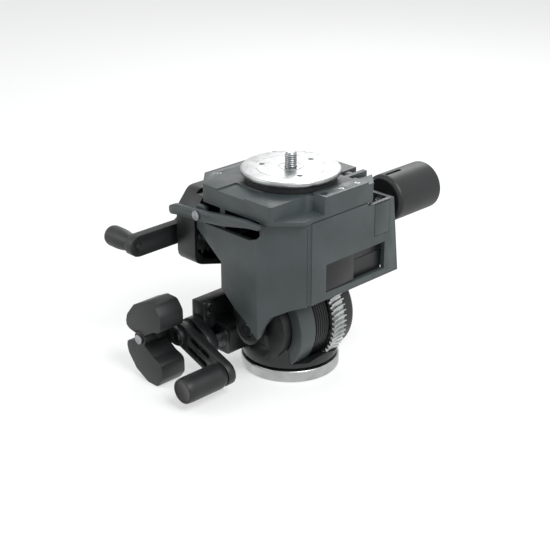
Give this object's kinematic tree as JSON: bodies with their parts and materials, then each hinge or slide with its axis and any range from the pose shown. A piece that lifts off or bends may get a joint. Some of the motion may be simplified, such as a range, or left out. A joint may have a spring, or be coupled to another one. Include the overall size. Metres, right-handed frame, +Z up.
{
  "type": "geared tripod head",
  "caption": "Geared head for a camera: a silver disc base, a drum-shaped pan and tilt housing, a slate casing with two cranks and a knob, and a top disc with a camera screw.",
  "frame": {"origin": "centre of the base disc's underside, where the tripod's screw enters", "axes": "+Z up along the pan axis and the camera screw; the tilt axis is along Y, the knob points along +Y and the casing's plate faces +X"},
  "size_m": [0.1661, 0.2393, 0.179],
  "materials": {
    "satin_slate": "satin slate grey-green paint",
    "satin_black": "satin black paint",
    "black_plastic": "fine-grained black plastic",
    "machined_silver": "machined, satin",
    "bright_steel": "turned steel",
    "gear_bronze": "bearing bronze",
    "dark_rubber": "dark rubber"
  },
  "bodies": {
    "base": {"base_disc": "machined_silver", "thrust_washer": "gear_bronze", "pivot_post": "bright_steel", "post_nut": "bright_steel", "pan_worm_wheel": "gear_bronze"},
    "pan_body": {"pan_housing": "satin_black", "pan_worm_cap": "bright_steel", "bracket_screw_top": "bright_steel", "bracket_screw_middle": "bright_steel", "bracket_screw_low": "bright_steel", "drum_band": "satin_slate", "groove_ring": "satin_black", "tilt_worm_wheel": "machined_silver", "drum_cheek": "satin_black", "tilt_shaft": "bright_steel", "gear_cover": "satin_black"},
    "pan_worm": {"pan_worm_shaft": "bright_steel", "pan_worm_gear": "bright_steel"},
    "pan_crank": {"pan_crank_shaft": "bright_steel", "pan_pinion": "bright_steel", "pan_crank_arm": "black_plastic", "pan_handle_pin": "bright_steel", "pinch_plate": "black_plastic", "pinch_pin": "bright_steel"},
    "pan_grip": {"pan_handle": "black_plastic", "pan_handle_cap": "satin_black"},
    "pinch_upper": {"pinch_lever_upper": "black_plastic"},
    "pinch_lower": {"pinch_lever_lower": "black_plastic"},
    "tilt_body": {"casing": "satin_slate", "label_plate": "satin_black", "side_panel": "satin_slate", "tilt_frame": "satin_black", "gear_case": "satin_slate", "lever_pin": "bright_steel"},
    "tilt_worm": {"tilt_worm_shaft": "bright_steel", "tilt_worm_gear": "bright_steel"},
    "tilt_idler": {"tilt_idler_gear": "gear_bronze", "tilt_idler_pin": "bright_steel"},
    "tilt_crank": {"tilt_crank_arm": "black_plastic", "tilt_crank_shaft": "bright_steel", "tilt_crank_gear": "bright_steel", "tilt_handle_pin": "bright_steel"},
    "tilt_grip": {"tilt_handle": "black_plastic"},
    "release_lever": {"release_lever": "satin_slate"},
    "platform": {"platform_slab": "satin_slate", "slab_screw_front": "bright_steel", "slab_screw_back": "bright_steel", "slab_screw_left_front": "bright_steel", "slab_screw_left_back": "bright_steel", "hinge_pin": "bright_steel", "lift_sector": "gear_bronze", "disc_ring": "dark_rubber", "top_disc": "machined_silver", "set_screw_back": "bright_steel", "set_screw_left": "bright_steel", "set_screw_right": "bright_steel", "camera_screw": "bright_steel"},
    "lift_knob": {"lift_worm_shaft": "bright_steel", "lift_knob": "black_plastic"}
  },
  "joints": [
    {"name": "pan", "type": "hinge", "parent": "base", "child": "pan_body", "pos_m": [0, 0, 0.0118], "axis": [0, 0, 1], "continuous": true},
    {"name": "pan_worm_turn", "type": "hinge", "parent": "pan_body", "child": "pan_worm", "pos_m": [-0.031, 0, 0.027], "axis": [0, 1, 0], "continuous": true},
    {"name": "pan_crank_turn", "type": "hinge", "parent": "pan_body", "child": "pan_crank", "pos_m": [-0.044, 0, 0.034], "axis": [0, 1, 0], "continuous": true},
    {"name": "pan_grip_spin", "type": "hinge", "parent": "pan_crank", "child": "pan_grip", "pos_m": [0.003, -0.079, 0.017], "axis": [0, 1, 0], "continuous": true},
    {"name": "pinch_upper_swing", "type": "hinge", "parent": "pan_crank", "child": "pinch_upper", "pos_m": [-0.06, -0.107, 0.035], "axis": [0, 1, 0], "range_deg": [0, 7], "stiffness_Nm_per_rad": 0.3},
    {"name": "pinch_lower_swing", "type": "hinge", "parent": "pan_crank", "child": "pinch_lower", "pos_m": [-0.06, -0.107, 0.035], "axis": [0, 1, 0], "range_deg": [-7, 0], "stiffness_Nm_per_rad": 0.3},
    {"name": "tilt", "type": "hinge", "parent": "pan_body", "child": "tilt_body", "pos_m": [0, 0, 0.043], "axis": [0, 1, 0], "range_deg": [-30, 90]},
    {"name": "tilt_worm_turn", "type": "hinge", "parent": "tilt_body", "child": "tilt_worm", "pos_m": [0, 0.0133, 0.0898], "axis": [1, 0, 0], "range_deg": [-5400, 1800]},
    {"name": "tilt_idler_turn", "type": "hinge", "parent": "tilt_body", "child": "tilt_idler", "pos_m": [-0.061, -0.01285, 0.0964], "axis": [1, 0, 0], "range_deg": [-1800, 5400]},
    {"name": "tilt_crank_turn", "type": "hinge", "parent": "tilt_body", "child": "tilt_crank", "pos_m": [-0.07, -0.039, 0.103], "axis": [1, 0, 0], "range_deg": [-5400, 1800]},
    {"name": "tilt_grip_spin", "type": "hinge", "parent": "tilt_crank", "child": "tilt_grip", "pos_m": [-0.086, -0.089, 0.103], "axis": [1, 0, 0], "continuous": true},
    {"name": "release_lever_swing", "type": "hinge", "parent": "tilt_body", "child": "release_lever", "pos_m": [-0.042, -0.0573, 0.1315], "axis": [0, 1, 0], "range_deg": [0, 6], "stiffness_Nm_per_rad": 0.4},
    {"name": "side_lift", "type": "hinge", "parent": "tilt_body", "child": "platform", "pos_m": [0, 0.044, 0.1485], "axis": [1, 0, 0], "range_deg": [-90, 0]},
    {"name": "lift_knob_turn", "type": "hinge", "parent": "tilt_body", "child": "lift_knob", "pos_m": [0.033, 0.0705, 0.1305], "axis": [0, 1, 0], "range_deg": [-2250, 0]}
  ],
  "couplings": [
    {"joint": "pan_worm_turn", "follows": "pan", "ratio": 24},
    {"joint": "pan_crank_turn", "follows": "pan", "ratio": -24},
    {"joint": "pinch_lower_swing", "follows": "pinch_upper_swing", "ratio": -1},
    {"joint": "tilt_worm_turn", "follows": "tilt", "ratio": -60},
    {"joint": "tilt_idler_turn", "follows": "tilt", "ratio": 60},
    {"joint": "tilt_crank_turn", "follows": "tilt", "ratio": -60},
    {"joint": "lift_knob_turn", "follows": "side_lift", "ratio": 25}
  ]
}
